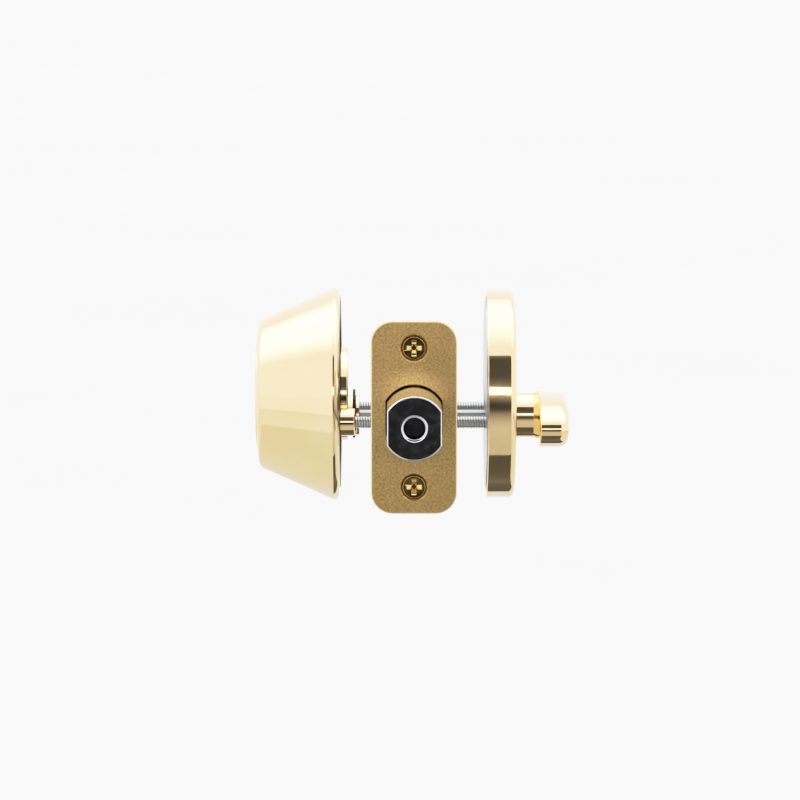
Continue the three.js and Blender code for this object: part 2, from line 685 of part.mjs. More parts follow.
function coverScrewPieces() {
  const { start, shank, point, head, coneHeight, side, sunk } = coverScrew;
  const top = rose.height - sunk;
  const corners = [
    [0, inside(start)],
    [point, inside(start)],
    [shank, inside(start + 0.5)],
    [shank, inside(top - side - coneHeight)],
    [head, inside(top - side)],
    [head, inside(top)],
    [0, inside(top)],
  ];
  ["front", "rear"].forEach((place, i) => {
    const screw = shaped(turned(corners, X, 16), { remove: crossRecess(X, inside(top), -1) });
    piece(crossBore, `cover_screw_${place}`, screw, materials.polishedBrass).position.y = coverScrews[i];
  });
}

function mountingScrews() {
  const { shank, point, head, headTop, side, headHeight, edge } = mountingScrew;
  const underHead = mountingPlate.thickness + seat;
  const top = underHead + headHeight;
  const corners = [
    [0, outside(lug.boreEnd - 1)],
    [point, outside(lug.boreEnd - 1)],
    [shank, outside(lug.boreEnd - 2)],
    [shank, inside(underHead)],
    [head, inside(underHead)],
    [head, inside(underHead + side), edge],
    [headTop, inside(top), edge],
    [0, inside(top)],
  ];
  ["front", "rear"].forEach((place, i) => {
    const screw = shaped(turned(corners, X, 16), { remove: crossRecess(X, inside(top), -1) });
    piece(spindle, `mounting_screw_${place}`, screw, materials.zincPlate).position.y = sides[i] * screwReach;
  });
}

const washer = { inner: 7.1, outer: 9.8, thickness: 0.3, wave: 0.22, waves: 3 };
const clipGap = { low: 5.9, high: 6.7 }; // where the thumbturn's clip lies

function thumbturn() {
  const slim = neckRadius - neck.slim;
  const grooveFloor = neckRadius - neck.groove;
  const play = 0.1;
  const grooveLow = inside(clipGap.low - play);
  const grooveHigh = inside(clipGap.high + play);
  const overlap = 2; // the neck runs this far into the grip
  const corners = [
    [0, inside(neck.start)],
    [slim - neck.lead, inside(neck.start)],
    [slim, inside(neck.start + neck.lead)],
    [slim, grooveLow],
    [grooveFloor, grooveLow],
    [grooveFloor, grooveHigh],
    [neckRadius, grooveHigh],
    [neckRadius, inside(grip.back + overlap)],
    [0, inside(grip.back + overlap)],
  ];
  const { back, front, edge, halfLength, halfWidth, lead, droop } = grip;
  const lean = THREE.MathUtils.degToRad(droop);
  const oval = new THREE.EllipseCurve(0, 0, halfLength, halfWidth, 0, 2 * Math.PI);
  const outline = oval.getPoints(28).slice(0, -1);
  const handle = plate(outline, [], X, inside(back), inside(front), edge).translate(0, -lead, 0).rotateX(lean);
  const slot = bladeSlot(inside(neck.start - 1), inside(blade.end + 1));
  const geometry = shaped(turned(corners, X, 24), { add: [handle], remove: [slot] });
  piece(spindle, "thumbturn", geometry, materials.polishedBrass);

  const clipInner = grooveFloor + running;
  const clip = clipRing(clipInner, neckRadius + 2.5, Math.PI / 6, inside(clipGap.low), inside(clipGap.high));
  piece(spindle, "thumbturn_clip", clip, materials.hardSteel);
}

// A thin ring that undulates along its axis and takes up the thumbturn's end play.
function waveWasher() {
  const { inner, outer, thickness, wave, waves } = washer;
  const middle = (clipGap.high + rose.height - rose.wall) / 2;
  const corners = [
    [inner, -thickness / 2],
    [outer, -thickness / 2],
    [outer, thickness / 2],
    [inner, thickness / 2],
  ];
  const ring = turned(corners, X, 24);
  const position = ring.attributes.position;
  for (let i = 0; i < position.count; i += 1) {
    const angle = Math.atan2(position.getZ(i), position.getY(i));
    position.setX(i, position.getX(i) + inside(middle) + wave * Math.cos(waves * angle));
  }
  piece(spindle, "wave_washer", ring, materials.hardSteel);
}

exteriorCollar();
guardRingPiece();
cylinderBody();
chamberCapPiece();
cylinderPlug();
pinStacks();
tailpiece();
faceplates();
faceplateScrews();
boltPieces();
boltTail();
boltTube();
caseHalves();
caseRivets();
crankPiece();
mountingPlatePiece();
interiorRose();
coverScrewPieces();
mountingScrews();
thumbturn();
waveWasher();

export default lock;
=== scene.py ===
"""The looks of a single-cylinder deadbolt lock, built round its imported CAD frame.

Shapes are worked out in millimetres, in the frame's axes, and become metres when a mesh is made.
"""

import json
import math

import bmesh
import bpy
from mathutils import Euler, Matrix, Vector


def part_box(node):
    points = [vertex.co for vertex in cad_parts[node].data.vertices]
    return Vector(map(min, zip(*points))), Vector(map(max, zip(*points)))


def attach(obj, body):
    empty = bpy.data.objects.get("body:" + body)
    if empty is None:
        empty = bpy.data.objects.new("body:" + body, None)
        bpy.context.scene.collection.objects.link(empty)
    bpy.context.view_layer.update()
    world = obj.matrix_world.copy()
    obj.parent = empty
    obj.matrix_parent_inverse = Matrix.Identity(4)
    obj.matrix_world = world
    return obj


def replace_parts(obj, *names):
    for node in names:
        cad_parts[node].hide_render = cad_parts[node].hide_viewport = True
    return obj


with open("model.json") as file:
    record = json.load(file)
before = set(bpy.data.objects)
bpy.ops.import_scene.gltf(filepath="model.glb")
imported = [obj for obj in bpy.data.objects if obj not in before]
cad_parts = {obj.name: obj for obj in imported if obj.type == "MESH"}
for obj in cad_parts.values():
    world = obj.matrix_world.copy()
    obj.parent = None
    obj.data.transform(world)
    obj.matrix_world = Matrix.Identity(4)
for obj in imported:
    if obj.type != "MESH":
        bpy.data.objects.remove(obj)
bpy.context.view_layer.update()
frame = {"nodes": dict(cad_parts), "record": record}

MM = 0.001
BODY_OF = {node: body for body, nodes in frame["record"]["behaviour"]["bodies"].items() for node in nodes}
TURN = 2 * math.pi


def box(node):
    """The lowest and highest corners of a CAD node, in millimetres."""
    low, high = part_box(node)
    return low / MM, high / MM


# ---------------------------------------------------------------- where things are

COLLAR_LOW, COLLAR_HIGH = box("exterior_collar")
ROSE_LOW, ROSE_HIGH = box("interior_rose")
PLATE_LOW, PLATE_HIGH = box("faceplate")
BOLT_LOW, BOLT_HIGH = box("bolt")
PLUG_LOW, PLUG_HIGH = box("cylinder_plug")
PIN_LOW, PIN_HIGH = box("tail_cross_pin")
BACKSET = (COLLAR_LOW.y + COLLAR_HIGH.y) / 2
SPINDLE_Z = (PLUG_LOW.z + PLUG_HIGH.z) / 2
BORE = (0, BACKSET, 0)
SPINDLE = (0, BACKSET, SPINDLE_Z)
CROSS_PIN = (0, (PIN_LOW.y + PIN_HIGH.y) / 2, (PIN_LOW.z + PIN_HIGH.z) / 2)
PIN_HOLE = 1.6  # radius of the holes for the cross pin
SCREW_REACH = 17.5  # the mounting screws on each side of the spindle
COVER_SCREW_REACH = 23.5  # the rose's screws on each side of the bore's middle
SCREW_Z = 20.65  # the faceplate's screws above and below the bolt's centreline
THROW = 25.4
CORNER = 6.35  # the faceplate's corner radius
BOLT_OPENING = (9.7, 8.3)  # radius and half-width of the double-D hole around the bolt
TAB_HALF, TAB_LOW, TAB_HIGH = 2.4, -8.6, -7.2  # the tab that ties the tube to the case
TAB_PLAY = 0.2
WINDOW_HALF, WINDOW_FLOOR = 2.2, -0.2  # the slot in the tube and the case that the tail runs through
PAST = 2  # how far a cutting tool reaches past what it cuts


# ---------------------------------------------------------------- outlines

def rounded(corners, steps=8):
    """A closed outline of (x, y) points from corners (x, y, radius); a corner with no radius stays sharp."""
    points = []
    for i, (x, y, *rest) in enumerate(corners):
        radius = rest[0] if rest else 0
        corner = Vector((x, y))
        if not radius:
            points.append(corner)
            continue
        before = (Vector(corners[i - 1][:2]) - corner).normalized()
        after = (Vector(corners[(i + 1) % len(corners)][:2]) - corner).normalized()
        half = before.angle(after) / 2
        start = corner + before * radius / math.tan(half)
        end = corner + after * radius / math.tan(half)
        centre = corner + (before + after).normalized() * radius / math.sin(half)
        first = math.atan2(*(start - centre).yx)
        last = math.atan2(*(end - centre).yx)
        sweep = (last - first + math.pi) % TURN - math.pi
        points += arc(centre.x, centre.y, radius, first, first + sweep, steps)
    return points


def arc(x, y, radius, start, end, steps):
    """Points on a circle round (x, y), from one angle to another."""
    angles = [start + (end - start) * k / steps for k in range(steps + 1)]
    return [Vector((x + radius * math.cos(a), y + radius * math.sin(a))) for a in angles]


def circle(x, y, radius, segments=48):
    return arc(x, y, radius, 0, TURN, segments)[:-1]


def rectangle(width, height, corner):
    """A rectangle round the origin, with round corners."""
    x, y = width / 2, height / 2
    return rounded([(-x, -y, corner), (x, -y, corner), (x, y, corner), (-x, y, corner)])


def double_d(radius, flat, steps=32):
    """A circle cut by two flats at x = -flat and x = flat."""
    a = math.acos(flat / radius)
    return arc(0, 0, radius, a, math.pi - a, steps) + arc(0, 0, radius, math.pi + a, TURN - a, steps)


def tapered_oval(wide_x, wide, narrow_x, narrow, steps):
    """Two circles on the x axis, wrapped by the lines that touch both."""
    touch = math.pi / 2 - math.asin((wide - narrow) / (narrow_x - wide_x))
    near = arc(narrow_x, 0, narrow, -touch, touch, steps)
    return near + arc(wide_x, 0, wide, touch, TURN - touch, steps + 16)


# ---------------------------------------------------------------- solids

def to_object(name, bm):
    """A scene object made of a bmesh's welded faces."""
    bmesh.ops.remove_doubles(bm, verts=bm.verts, dist=1e-7)
    bmesh.ops.recalc_face_normals(bm, faces=bm.faces)
    mesh = bpy.data.meshes.new(name)
    bm.to_mesh(mesh)
    bm.free()
    obj = bpy.data.objects.new(name, mesh)
    bpy.context.scene.collection.objects.link(obj)
    return obj


def placed(axis, along, u, v, centre=(0, 0, 0)):
    """A point along an axis, with u and v across it in the frame's order."""
    point = {"X": (along, u, v), "Y": (u, along, v), "Z": (u, v, along)}[axis]
    return (Vector(point) + Vector(centre)) * MM


def skin(name, rings, closed=False):
    """A mesh through rings of points; a ring of one point is a pole, and open ends are capped."""
    bm = bmesh.new()
    rows = [[bm.verts.new(p) for p in ring] for ring in rings]
    pairs = list(zip(rows, rows[1:])) + ([(rows[-1], rows[0])] if closed else [])
    for a, b in pairs:
        count = max(len(a), len(b))
        for k in range(count):
            n = (k + 1) % count
            corners = list(dict.fromkeys([a[k % len(a)], a[n % len(a)], b[n % len(b)], b[k % len(b)]]))
            if len(corners) > 2:
                bm.faces.new(corners)
    if not closed:
        for row in (rows[0], rows[-1]):
            if len(row) > 2:
                bm.faces.new(row)
    return to_object(name, bm)


def turned(name, corners, axis, centre=(0, 0, 0), segments=96, steps=8):
    """A solid of revolution from corners (radius, place along the axis, rounding)."""
    profile = rounded(corners, steps)
    on_axis = profile[0].x < 1e-9 and profile[-1].x < 1e-9
    rings = []
    for radius, along in profile:
        if radius < 1e-9:
            rings.append([placed(axis, along, 0, 0, centre)])
        else:
            rings.append([placed(axis, along, p.x, p.y, centre) for p in circle(0, 0, radius, segments)])
    return skin(name, rings, closed=not on_axis)


def rod(name, radius, low, high, axis, centre=(0, 0, 0), edge=0, segments=64):
    """A round bar between two places along an axis; edge rounds its ends."""
    corners = [(0, low), (radius, low, edge), (radius, high, edge), (0, high)]
    return turned(name, corners, axis, centre, segments, steps=4)


def plate(name, outline, holes, axis, low, high, edge=0.15):
    """A flat piece between two places along X or Y, with softened edges.

    Its outline is in (Y, Z) for a piece along X, and in (X, Z) for one along Y.
    """
    curve = bpy.data.curves.new(name, "CURVE")
    curve.dimensions = "2D"
    curve.fill_mode = "BOTH"
    curve.extrude = ((high - low) / 2 - edge) * MM
    curve.bevel_depth = edge * MM
    curve.bevel_resolution = 2
    curve.offset = -edge * MM
    for points in [outline, *holes]:
        spline = curve.splines.new("POLY")
        spline.points.add(len(points) - 1)
        for slot, point in zip(spline.points, points):
            slot.co = (point[0] * MM, point[1] * MM, 0, 1)
        spline.use_cyclic_u = True
    maker = bpy.data.objects.new(name + "_outline", curve)
    bpy.context.scene.collection.objects.link(maker)
    depsgraph = bpy.context.evaluated_depsgraph_get()
    mesh = bpy.data.meshes.new_from_object(maker.evaluated_get(depsgraph))
    bpy.data.objects.remove(maker)
    middle = (low + high) / 2 * MM
    bm = bmesh.new()
    bm.from_mesh(mesh)
    for vert in bm.verts:
        u, v, w = vert.co
        vert.co = (w + middle, u, v) if axis == "X" else (u, w + middle, v)
    return to_object(name, bm)


def block(name, low, high):
    """A sharp-edged box between two corners."""
    bm = bmesh.new()
    bmesh.ops.create_cube(bm, size=1)
    low, high = Vector(low) * MM, Vector(high) * MM
    for vert in bm.verts:
        vert.co = [a + (c + 0.5) * (b - a) for a, b, c in zip(low, high, vert.co)]
    return to_object(name, bm)


def combine(obj, tools, operation):
    """Applies a boolean with each tool in turn, and takes the tools away."""
    for tool in tools:
        modifier = obj.modifiers.new("combine", "BOOLEAN")
        modifier.operation = operation
        modifier.solver = "EXACT"
        modifier.object = tool
    bpy.context.view_layer.update()
    depsgraph = bpy.context.evaluated_depsgraph_get()
    mesh = bpy.data.meshes.new_from_object(obj.evaluated_get(depsgraph))
    obj.modifiers.clear()
    obj.data = mesh
    for tool in tools:
        bpy.data.objects.remove(tool)
    return obj


def cut(obj, *tools):
    return combine(obj, tools, "DIFFERENCE")


def join(obj, *tools):
    return combine(obj, tools, "UNION")


def soften(obj, width=0.12, angle=35):
    """Rounds every edge sharper than the angle, so that it catches the light."""
    modifier = obj.modifiers.new("soften", "BEVEL")
    modifier.width = width * MM
    modifier.segments = 3
    modifier.limit_method = "ANGLE"
    modifier.angle_limit = math.radians(angle)
    modifier.use_clamp_overlap = True
    modifier.harden_normals = False
    bpy.context.view_layer.update()
    depsgraph = bpy.context.evaluated_depsgraph_get()
    obj.data = bpy.data.meshes.new_from_object(obj.evaluated_get(depsgraph))
    obj.modifiers.clear()
    return obj


def shade(obj, angle=28):
    """Smooth shading, broken at edges sharper than the angle.

    Flat parts are made one face each, so they stay flat.
    """
    bm = bmesh.new()
    bm.from_mesh(obj.data)
    bmesh.ops.dissolve_limit(bm, angle_limit=math.radians(0.05), verts=bm.verts, edges=bm.edges)
    for face in bm.faces:
        face.smooth = True
    for edge in bm.edges:
        folded = len(edge.link_faces) == 2 and edge.calc_face_angle(0) > math.radians(angle)
        edge.smooth = not folded
    bm.to_mesh(obj.data)
    bm.free()
    flat = obj.modifiers.new("flat_faces", "WEIGHTED_NORMAL")
    flat.keep_sharp = True
    return obj


def cross_recess(name, axis, face, depth, centre=(0, 0, 0)):
    """The tapered cross of a screw's drive, sunk from its face by depth along the axis."""
    def cross(reach, half_width):
        arm = [(half_width, half_width), (half_width, reach), (-half_width, reach)]
        quarter_turns = ((1, 0), (0, 1), (-1, 0), (0, -1))
        return [(x * c - y * s, x * s + y * c) for c, s in quarter_turns for x, y in arm]

    levels = ((-0.3, 3.0, 0.78), (0, 2.5, 0.7), (0.5, 1.4, 0.54), (1, 0.7, 0.4))
    rings = []
    for share, reach, half_width in levels:
        rings.append([placed(axis, face + depth * share, u, v, centre) for u, v in cross(reach, half_width)])
    return skin(name, rings)


def threaded(name, axis, core, crest, pitch, low, high, centre=(0, 0, 0), point=0, segments=28):
    """A threaded shank from low to high; its last stretch, point long, tapers to a tip."""
    steps_per_turn = 8
    blunt = 0.06  # share of the radius that is left at the tip
    rows = int(abs(high - low) / pitch * steps_per_turn)
    rings = []
    for row in range(rows + 1):
        along = low + (high - low) * row / rows
        left = abs(high - along)
        taper = min(1.0, left / point) if point else 1.0
        ring = []
        for k in range(segments):
            angle = TURN * k / segments
            phase = (abs(along - low) / pitch + k / segments) % 1
            ridge = max(0.0, 1 - abs(phase - 0.5) * 4)  # it takes up half of the pitch
            fade = min(1.0, abs(along - low) / pitch)
            radius = (core + (crest - core) * ridge * fade) * max(taper, blunt)
            ring.append(placed(axis, along, radius * math.cos(angle), radius * math.sin(angle), centre))
        rings.append(ring)
    return skin(name, rings)


# ---------------------------------------------------------------- materials

class Nodes:
    """Short names for building one material's node tree."""

    MIX_COLOURS = (6, 7)  # the colour inputs of a Mix node
    MIXED_COLOUR = 2  # and its colour output

    def __init__(self, name):
        self.material = bpy.data.materials.new(name)
        self.material.use_nodes = True
        self.tree = self.material.node_tree
        self.shader = self.tree.nodes["Principled BSDF"]
        self.place = self.tree.nodes.new("ShaderNodeTexCoord").outputs["Object"]

    def link(self, output, socket):
        self.tree.links.new(output, socket)

    def noise(self, scale, detail=3.0, roughness=0.55, stretch=(1, 1, 1)):
        mapping = self.tree.nodes.new("ShaderNodeMapping")
        mapping.inputs["Scale"].default_value = stretch
        self.link(self.place, mapping.inputs["Vector"])
        node = self.tree.nodes.new("ShaderNodeTexNoise")
        node.inputs["Scale"].default_value = scale
        node.inputs["Detail"].default_value = detail
        node.inputs["Roughness"].default_value = roughness
        self.link(mapping.outputs["Vector"], node.inputs["Vector"])
        return node.outputs["Fac"]

    def span(self, value, low, high, start=0.35, end=0.65):
        """Maps start..end of a value to low..high."""
        node = self.tree.nodes.new("ShaderNodeMapRange")
        self.link(value, node.inputs["Value"])
        for key, number in zip(("From Min", "From Max", "To Min", "To Max"), (start, end, low, high)):
            node.inputs[key].default_value = number
        return node.outputs["Result"]

    def mix(self, share, first, second):
        node = self.tree.nodes.new("ShaderNodeMix")
        node.data_type = "RGBA"
        self.link(share, node.inputs["Factor"])
        for index, value in zip(self.MIX_COLOURS, (first, second)):
            socket = node.inputs[index]
            if isinstance(value, tuple):
                socket.default_value = (*value, 1)
            else:
                self.link(value, socket)
        return node.outputs[self.MIXED_COLOUR]

    def beyond(self, half_x, half_z):
        """How far a point lies outside an upright rectangle in X and Z."""
        across = self.vector("MULTIPLY", self.place, (1, 0, 1))
        folded = self.vector("ABSOLUTE", across, (0, 0, 0))
        past = self.vector("SUBTRACT", folded, (half_x * MM, 0, half_z * MM))
        node = self.tree.nodes.new("ShaderNodeVectorMath")
        node.operation = "LENGTH"
        self.link(self.vector("MAXIMUM", past, (0, 0, 0)), node.inputs[0])
        return node.outputs["Value"]

    def vector(self, operation, first, second):
        node = self.tree.nodes.new("ShaderNodeVectorMath")
        node.operation = operation
        self.link(first, node.inputs[0])
        node.inputs[1].default_value = second
        return node.outputs["Vector"]

    def bump(self, heights):
        """Chains bumps of (height, strength, distance in millimetres)."""
        normal = None
        for height, strength, distance in heights:
            node = self.tree.nodes.new("ShaderNodeBump")
            node.inputs["Strength"].default_value = strength
            node.inputs["Distance"].default_value = distance * MM
            self.link(height, node.inputs["Height"])
            if normal is not None:
                self.link(normal, node.inputs["Normal"])
            normal = node.outputs["Normal"]
        self.link(normal, self.shader.inputs["Normal"])

    def metal(self, colour, roughness):
        self.shader.inputs["Metallic"].default_value = 1.0
        self.link(colour, self.shader.inputs["Base Color"])
        self.link(roughness, self.shader.inputs["Roughness"])


def polished_brass():
    """Lacquered brass: a near mirror, with faint waviness from the polishing wheel and handling smudges."""
    n = Nodes("polished_brass")
    tint = n.mix(n.span(n.noise(70), 0, 1), (0.94, 0.71, 0.40), (0.91, 0.67, 0.35))
    n.metal(tint, n.span(n.noise(240, detail=5), 0.045, 0.1))
    n.shader.inputs["Coat Weight"].default_value = 0.3
    n.shader.inputs["Coat Roughness"].default_value = 0.03
    n.bump([(n.noise(55, detail=1), 0.12, 0.6), (n.noise(2600, detail=2), 0.04, 0.02)])
    return n.material


def satin_brass():
    """The faceplate's brass: finely pitted, mottled with tarnish, and with a painted highlight along its
    border.
    """
    n = Nodes("satin_brass")
    patches = n.span(n.noise(150, detail=4), 0, 1)
    grain = n.span(n.noise(1500, detail=5, roughness=0.8), 0, 1, 0.42, 0.58)
    base = n.mix(patches, (0.53, 0.345, 0.125), (0.43, 0.27, 0.092))
    tint = n.mix(grain, base, (0.75, 0.515, 0.215))
    half_x, half_z = (PLATE_HIGH.x - PLATE_LOW.x) / 2, (PLATE_HIGH.z - PLATE_LOW.z) / 2
    # A painted highlight: within about half a millimetre of the plate's edge, and on its sides, the brass
    # turns a bright pale colour.
    border = n.beyond(half_x - CORNER, half_z - CORNER)
    fade_start, fade_end = 0.5, 0.35  # distances from the plate's edge
    painted_edge_highlight = n.span(border, 0, 1, (CORNER - fade_start) * MM, (CORNER - fade_end) * MM)
    tint = n.mix(painted_edge_highlight, tint, (0.78, 0.58, 0.29))
    n.metal(tint, n.span(n.noise(900, detail=2), 0.32, 0.36))
    n.bump([(n.noise(650, detail=1), 0.06, 0.06), (n.noise(240, detail=2), 0.12, 0.15)])
    return n.material


def plain_brass():
    """Turned brass: bright, with faint tool marks and a little tarnish."""
    n = Nodes("plain_brass")
    tint = n.mix(n.span(n.noise(300, detail=5), 0, 1), (0.80, 0.58, 0.25), (0.68, 0.47, 0.19))
    n.metal(tint, n.span(n.noise(700, detail=4), 0.07, 0.13))
    n.bump([(n.noise(900, detail=3, stretch=(1, 0.2, 0.2)), 0.08, 0.03)])
    return n.material


def bolt_chrome():
    """Polished chrome plate with faint handling marks."""
    n = Nodes("bolt_chrome")
    tint = n.mix(n.span(n.noise(120), 0, 1), (0.66, 0.66, 0.69), (0.58, 0.58, 0.62))
    n.metal(tint, n.span(n.noise(500, detail=6), 0.05, 0.11))
    n.bump([(n.noise(130, detail=2), 0.06, 0.3), (n.noise(2600, detail=3, stretch=(1, 0.2, 1)), 0.05, 0.02)])
    return n.material


def zinc_plate():
    """Bright zinc on pressed steel: soft sheen, cloudy, with a faint rolled grain."""
    n = Nodes("zinc_plate")
    clouds = n.span(n.noise(110, detail=2), 0, 1)
    tint = n.mix(clouds, (0.56, 0.56, 0.55), (0.49, 0.50, 0.51))
    n.metal(tint, n.span(n.noise(600, detail=2), 0.28, 0.38))
    n.bump([(n.noise(1800, detail=2, stretch=(1, 0.12, 1)), 0.06, 0.04)])
    return n.material


def hard_steel():
    """Hardened steel, blackened by its heat treatment."""
    n = Nodes("hard_steel")
    tint = n.mix(n.span(n.noise(260, detail=5), 0, 1), (0.028, 0.026, 0.027), (0.016, 0.015, 0.016))
    n.metal(tint, n.span(n.noise(800, detail=4), 0.3, 0.45))
    n.bump([(n.noise(2000, detail=3, stretch=(0.1, 1, 1)), 0.12, 0.03)])
    return n.material


MAKERS = (polished_brass, satin_brass, plain_brass, bolt_chrome, zinc_plate, hard_steel)
MATERIALS = {maker.__name__: maker() for maker in MAKERS}
SLOT_OF = {row["node"]: row["material_slot"] for row in frame["record"]["subparts"]}


def stand_for(obj, node, angle=28, finish=None):
    """obj replaces a CAD node: it rides on the same body, with the node's finish unless another is named."""
    finish = finish or SLOT_OF[node]
    shade(obj, angle)
    obj.data.materials.clear()
    obj.data.materials.append(MATERIALS[finish])
    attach(obj, BODY_OF[node])
    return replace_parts(obj, node)


def carry_over():
    """The CAD nodes that stay get the same materials as the pieces."""
    for node, obj in frame["nodes"].items():
        material = MATERIALS[SLOT_OF[node]]
        if not obj.material_slots:
            obj.data.materials.append(material)
        for slot in obj.material_slots:
            slot.material = material


# ---------------------------------------------------------------- exterior side

def exterior_collar():
    """The tapered shell, with a curled rim against the door and a soft front edge."""
    base = (COLLAR_HIGH.z - COLLAR_LOW.z) / 2
    front, rim = COLLAR_LOW.x, COLLAR_HIGH.x
    widest = rim - 2.0
    wall = 2.1
    nose = 22.5  # radius where the cone would meet the front face
    opening = 16.8  # radius of the hole for the cylinder's face
    slope = (base - nose) / (widest - front)
    inner_front = front + 1.9
    inner = base - wall
    corners = [
        (inner, rim),
        (base, rim, 1.9),
        (base, widest, 0.5),
        (nose, front, 2.6),
        (opening, front, 0.45),
        (opening, inner_front, 0.3),
        (inner - slope * (widest - inner_front), inner_front, 1.0),
        (inner, widest),
    ]
    stand_for(turned("collar_shell", corners, "X", BORE, segments=192, steps=12), "exterior_collar")


def guard_ring():
    """The ring inside the collar, with a flange that seats on the door."""
    low, high = box("guard_ring")
    inner, outer = 24.6, 26.2
    flange = (high.z - low.z) / 2
    flange_front = high.x - 1.5
    corners = [
        (inner, high.x, 0.3),
        (flange, high.x, 0.4),
        (flange, flange_front, 0.4),
        (outer, flange_front, 0.5),
        (outer, low.x, 0.4),
        (inner, low.x, 0.3),
    ]
    stand_for(turned("guard_ring_turned", corners, "X", BORE, segments=128), "guard_ring")


def cylinder_housing():
    """The barrel with its raised face and two tapped lugs for the mounting screws."""
    low, high = box("cylinder_body")
    front, rear = low.x, high.x
    barrel, barrel_end = 14.4, rear - 2.2
    ring, ring_back = 16.5, front + 2.65
    lug, lug_front = 4.2, front + 9.55
    web_half, web_end = 2.6, rear - 3
    corners = [
        (0, barrel_end),
        (barrel, barrel_end, 0.5),
        (barrel, ring_back, 0.4),
        (ring, ring_back, 0.3),
        (ring, front, 0.8),
        (0, front),
    ]
    housing = turned("cylinder_housing", corners, "X", BORE, segments=128)
    plug_bore, counterbore, counterbore_depth = 6.45, 7.35, 1.5
    tapping, tapping_depth = 2.35, 11.55
    bores = [
        rod("bore", plug_bore, front - PAST, rear + PAST, "X", SPINDLE),
        rod("counterbore", counterbore, front - PAST, front + counterbore_depth, "X", SPINDLE),
    ]
    lugs = []
    for side in (-1, 1):
        centre = (0, BACKSET + side * SCREW_REACH, SPINDLE_Z)
        lugs.append(rod("lug", lug, lug_front, rear, "X", centre, edge=0.5))
        near, far = sorted((BACKSET, centre[1]))
        web_low = (lug_front, near, SPINDLE_Z - web_half)
        web_high = (web_end, far, SPINDLE_Z + web_half)
        lugs.append(block("web", web_low, web_high))
        bores.append(rod("tapping", tapping, front + tapping_depth, rear + PAST, "X", centre))
    join(housing, *lugs)
    cap_low, cap_high = box("pin_chamber_cap")
    play = 0.05
    above_barrel = 20
    slot_high = (cap_high.x + play, cap_high.y + play, above_barrel)
    bores.append(block("cap_slot", cap_low - Vector((play, play, play)), slot_high))
    cut(housing, *bores)
    stand_for(soften(housing, 0.15), "cylinder_body", finish="polished_brass")


def cylinder_plug():
    """The turning plug: its keyway has a ward on each side, and its rear a round socket."""
    front, rear = PLUG_LOW.x, PLUG_HIGH.x
    body, head, groove = 6.3, 7.2, 5.4
    head_back = front + 1.4
    groove_front, groove_back = rear - 2.2, rear - 1.2
    corners = [
        (0, rear),
        (body, rear, 0.3),
        (body, groove_back),
        (groove, groove_back),
        (groove, groove_front),
        (body, groove_front),
        (body, head_back),
        (head, head_back, 0.2),
        (head, front, 0.4),
        (0, front),
    ]
    plug = turned("keyed_plug", corners, "X", SPINDLE, segments=96)
    half, ward = 1.0, 1.7
    bottom, top = -5.2, 2.8
    keyway = rounded([
        (-half, bottom, 0.5),
        (half, bottom, 0.5),
        (half, -3.4, 0.2),
        (ward, -2.9, 0.3),
        (ward, -1.7, 0.3),
        (half, -1.2, 0.2),
        (half, top, 0.4),
        (-0.4, top, 0.3),
        (-0.4, 1.0, 0.2),
        (-half, 0.5, 0.2),
    ], steps=4)
    shifted = [(y + BACKSET, z + SPINDLE_Z) for y, z in keyway]
    slot = plate("keyway", shifted, [], "X", front - 1, rear - 7, edge=0.01)
    socket, socket_depth = 4.15, 4.6
    cut(plug, slot, rod("socket", socket, rear - socket_depth, rear + 1, "X", SPINDLE))
    stand_for(soften(plug, 0.14), "cylinder_plug", finish="polished_brass")


# ---------------------------------------------------------------- bolt assembly

def faceplate():
    """Brass plate with round corners, two countersunk holes and the bolt's double-D opening."""
    thickness = PLATE_HIGH.y - PLATE_LOW.y
    width, height = PLATE_HIGH.x - PLATE_LOW.x, PLATE_HIGH.z - PLATE_LOW.z
    outline = rectangle(width, height, CORNER)
    opening = double_d(*BOLT_OPENING)
    face = plate("faceplate_brass", outline, [opening], "Y", PLATE_LOW.y, PLATE_HIGH.y, edge=0.35)
    mouth, seat, hole = 4.55, 4.15, 2.3
    corners = [
        (0, -0.5),
        (mouth, -0.5),
        (seat, 0),
        (hole, thickness + 0.05),
        (hole, thickness + 1),
        (0, thickness + 1),
    ]
    sinks = [turned("sink", corners, "Y", (0, 0, z), segments=72) for z in (-SCREW_Z, SCREW_Z)]
    cut(face, *sinks)
    stand_for(soften(face, 0.07, 30), "faceplate", 30)


def backing_plate():
    """The steel plate behind the faceplate."""
    low, high = box("backing_plate")
    corner, screw_hole = 5.9, 2.25
    outline = rectangle(high.x - low.x, high.z - low.z, corner)
    holes = [double_d(*BOLT_OPENING)] + [circle(0, z, screw_hole) for z in (-SCREW_Z, SCREW_Z)]
    plain = plate("backing_plate_steel", outline, holes, "Y", low.y, high.y, edge=0.2)
    stand_for(plain, "backing_plate")


def faceplate_screws():
    """Flat-headed wood screws: a cross recess, a plain neck and a tapping thread that ends in a point."""
    neck, cone_end, neck_end, thread_start = 1.95, 2.1, 4.2, 4.1
    core, crest, pitch, tip = 1.45, 2.1, 1.7, 5.5
    for node in ("faceplate_screw_lower", "faceplate_screw_upper"):
        low, high = box(node)
        centre = (0, 0, (low.z + high.z) / 2)
        head = (high.z - low.z) / 2
        corners = [
            (0, low.y),
            (head, low.y, 0.15),
            (head, low.y + 0.4),
            (neck, cone_end, 0.3),
            (neck, neck_end),
            (0, neck_end),
        ]
        screw = turned(node + "_head", corners, "Y", centre, segments=64)
        cut(screw, cross_recess("recess", "Y", low.y, 1.2, centre))
        join(screw, threaded("shank", "Y", core, crest, pitch, thread_start, high.y, centre, point=tip))
        screw.name = node + "_threaded"
        stand_for(screw, node, 40)


